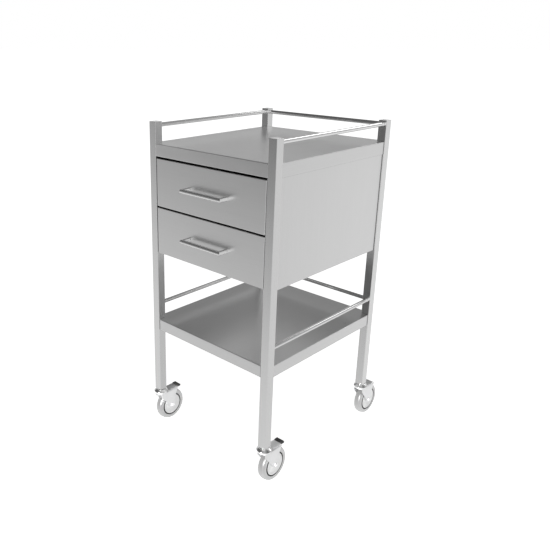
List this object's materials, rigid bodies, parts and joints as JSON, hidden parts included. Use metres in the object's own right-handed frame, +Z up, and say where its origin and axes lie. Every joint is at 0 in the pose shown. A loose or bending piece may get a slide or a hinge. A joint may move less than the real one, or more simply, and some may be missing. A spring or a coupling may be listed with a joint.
{
  "type": "instrument cart",
  "caption": "Stainless instrument cart with a guarded work surface, two drawers on telescopic runners, a guarded lower shelf, and swivel castors with brakes at the front.",
  "frame": {"origin": "on the floor, at the centre of the object's footprint box; the uprights' own centre is 22.25 mm towards the front, because the castors trail to the rear", "axes": "+Z up; -Y is the drawer side; +X is on the right of someone facing the drawers"},
  "size_m": [0.4678, 0.6087, 0.955],
  "materials": {
    "tube_steel": "satin stainless square tube",
    "sheet_steel": "satin stainless sheet",
    "rail_steel": "polished stainless round bar",
    "handle_steel": "polished stainless round bar",
    "runner_zinc": "bright zinc plate",
    "castor_steel": "bright zinc plate",
    "hub_plastic": "light grey moulded nylon",
    "tyre_rubber": "smooth grey non-marking rubber",
    "pad_rubber": "black ribbed rubber"
  },
  "bodies": {
    "cart_frame": {"post_front_left": "tube_steel", "post_front_right": "tube_steel", "post_rear_left": "tube_steel", "post_rear_right": "tube_steel", "top_shelf": "sheet_steel", "lower_shelf": "sheet_steel", "top_rail_left": "rail_steel", "top_rail_right": "rail_steel", "top_rail_back": "rail_steel", "lower_rail_left": "rail_steel", "lower_rail_right": "rail_steel", "lower_rail_back": "rail_steel", "side_panel_left": "sheet_steel", "runner_carrier_left": "sheet_steel", "side_panel_right": "sheet_steel", "runner_carrier_right": "sheet_steel", "back_panel": "sheet_steel", "cabinet_floor": "sheet_steel", "runner_1_left_outer": "runner_zinc", "runner_1_right_outer": "runner_zinc", "runner_2_left_outer": "runner_zinc", "runner_2_right_outer": "runner_zinc", "castor_front_left_stem": "castor_steel", "castor_front_right_stem": "castor_steel", "castor_rear_left_stem": "castor_steel", "castor_rear_right_stem": "castor_steel"},
    "drawer_1": {"drawer_1_front": "sheet_steel", "drawer_1_tray": "sheet_steel", "drawer_1_handle": "handle_steel", "runner_1_left_inner": "runner_zinc", "runner_1_right_inner": "runner_zinc"},
    "runner_1_middles": {"runner_1_left_middle": "runner_zinc", "runner_1_right_middle": "runner_zinc"},
    "drawer_2": {"drawer_2_front": "sheet_steel", "drawer_2_tray": "sheet_steel", "drawer_2_handle": "handle_steel", "runner_2_left_inner": "runner_zinc", "runner_2_right_inner": "runner_zinc"},
    "runner_2_middles": {"runner_2_left_middle": "runner_zinc", "runner_2_right_middle": "runner_zinc"},
    "castor_front_left_swivel": {"castor_front_left_fork": "castor_steel", "castor_front_left_axle": "castor_steel"},
    "castor_front_left_wheel": {"castor_front_left_hub": "hub_plastic", "castor_front_left_tyre": "tyre_rubber"},
    "castor_front_left_brake": {"castor_front_left_brake_pedal": "castor_steel", "castor_front_left_brake_pad": "pad_rubber"},
    "castor_front_right_swivel": {"castor_front_right_fork": "castor_steel", "castor_front_right_axle": "castor_steel"},
    "castor_front_right_wheel": {"castor_front_right_hub": "hub_plastic", "castor_front_right_tyre": "tyre_rubber"},
    "castor_front_right_brake": {"castor_front_right_brake_pedal": "castor_steel", "castor_front_right_brake_pad": "pad_rubber"},
    "castor_rear_left_swivel": {"castor_rear_left_fork": "castor_steel", "castor_rear_left_axle": "castor_steel"},
    "castor_rear_left_wheel": {"castor_rear_left_hub": "hub_plastic", "castor_rear_left_tyre": "tyre_rubber"},
    "castor_rear_right_swivel": {"castor_rear_right_fork": "castor_steel", "castor_rear_right_axle": "castor_steel"},
    "castor_rear_right_wheel": {"castor_rear_right_hub": "hub_plastic", "castor_rear_right_tyre": "tyre_rubber"}
  },
  "joints": [
    {"name": "drawer_1_slide", "type": "slide", "parent": "cart_frame", "child": "drawer_1", "axis": [0, -1, 0], "range_m": [0, 0.4]},
    {"name": "runner_1_middle_slide", "type": "slide", "parent": "cart_frame", "child": "runner_1_middles", "axis": [0, -1, 0], "range_m": [0, 0.2]},
    {"name": "drawer_2_slide", "type": "slide", "parent": "cart_frame", "child": "drawer_2", "axis": [0, -1, 0], "range_m": [0, 0.4]},
    {"name": "runner_2_middle_slide", "type": "slide", "parent": "cart_frame", "child": "runner_2_middles", "axis": [0, -1, 0], "range_m": [0, 0.2]},
    {"name": "castor_front_left_swivel_turn", "type": "hinge", "parent": "cart_frame", "child": "castor_front_left_swivel", "pos_m": [-0.2125, -0.26225, 0.11], "axis": [0, 0, 1], "continuous": true},
    {"name": "castor_front_left_wheel_spin", "type": "hinge", "parent": "castor_front_left_swivel", "child": "castor_front_left_wheel", "pos_m": [-0.2125, -0.22575, 0.05], "axis": [1, 0, 0], "continuous": true},
    {"name": "castor_front_left_brake_press", "type": "hinge", "parent": "castor_front_left_swivel", "child": "castor_front_left_brake", "pos_m": [-0.2125, -0.23625, 0.099], "axis": [1, 0, 0], "range_deg": [-14, 0]},
    {"name": "castor_front_right_swivel_turn", "type": "hinge", "parent": "cart_frame", "child": "castor_front_right_swivel", "pos_m": [0.2125, -0.26225, 0.11], "axis": [0, 0, 1], "continuous": true},
    {"name": "castor_front_right_wheel_spin", "type": "hinge", "parent": "castor_front_right_swivel", "child": "castor_front_right_wheel", "pos_m": [0.2125, -0.22575, 0.05], "axis": [1, 0, 0], "continuous": true},
    {"name": "castor_front_right_brake_press", "type": "hinge", "parent": "castor_front_right_swivel", "child": "castor_front_right_brake", "pos_m": [0.2125, -0.23625, 0.099], "axis": [1, 0, 0], "range_deg": [-14, 0]},
    {"name": "castor_rear_left_swivel_turn", "type": "hinge", "parent": "cart_frame", "child": "castor_rear_left_swivel", "pos_m": [-0.2125, 0.21775, 0.11], "axis": [0, 0, 1], "continuous": true},
    {"name": "castor_rear_left_wheel_spin", "type": "hinge", "parent": "castor_rear_left_swivel", "child": "castor_rear_left_wheel", "pos_m": [-0.2125, 0.25425, 0.05], "axis": [1, 0, 0], "continuous": true},
    {"name": "castor_rear_right_swivel_turn", "type": "hinge", "parent": "cart_frame", "child": "castor_rear_right_swivel", "pos_m": [0.2125, 0.21775, 0.11], "axis": [0, 0, 1], "continuous": true},
    {"name": "castor_rear_right_wheel_spin", "type": "hinge", "parent": "castor_rear_right_swivel", "child": "castor_rear_right_wheel", "pos_m": [0.2125, 0.25425, 0.05], "axis": [1, 0, 0], "continuous": true}
  ],
  "couplings": [
    {"joint": "runner_1_middle_slide", "follows": "drawer_1_slide", "ratio": 0.5},
    {"joint": "runner_2_middle_slide", "follows": "drawer_2_slide", "ratio": 0.5}
  ]
}
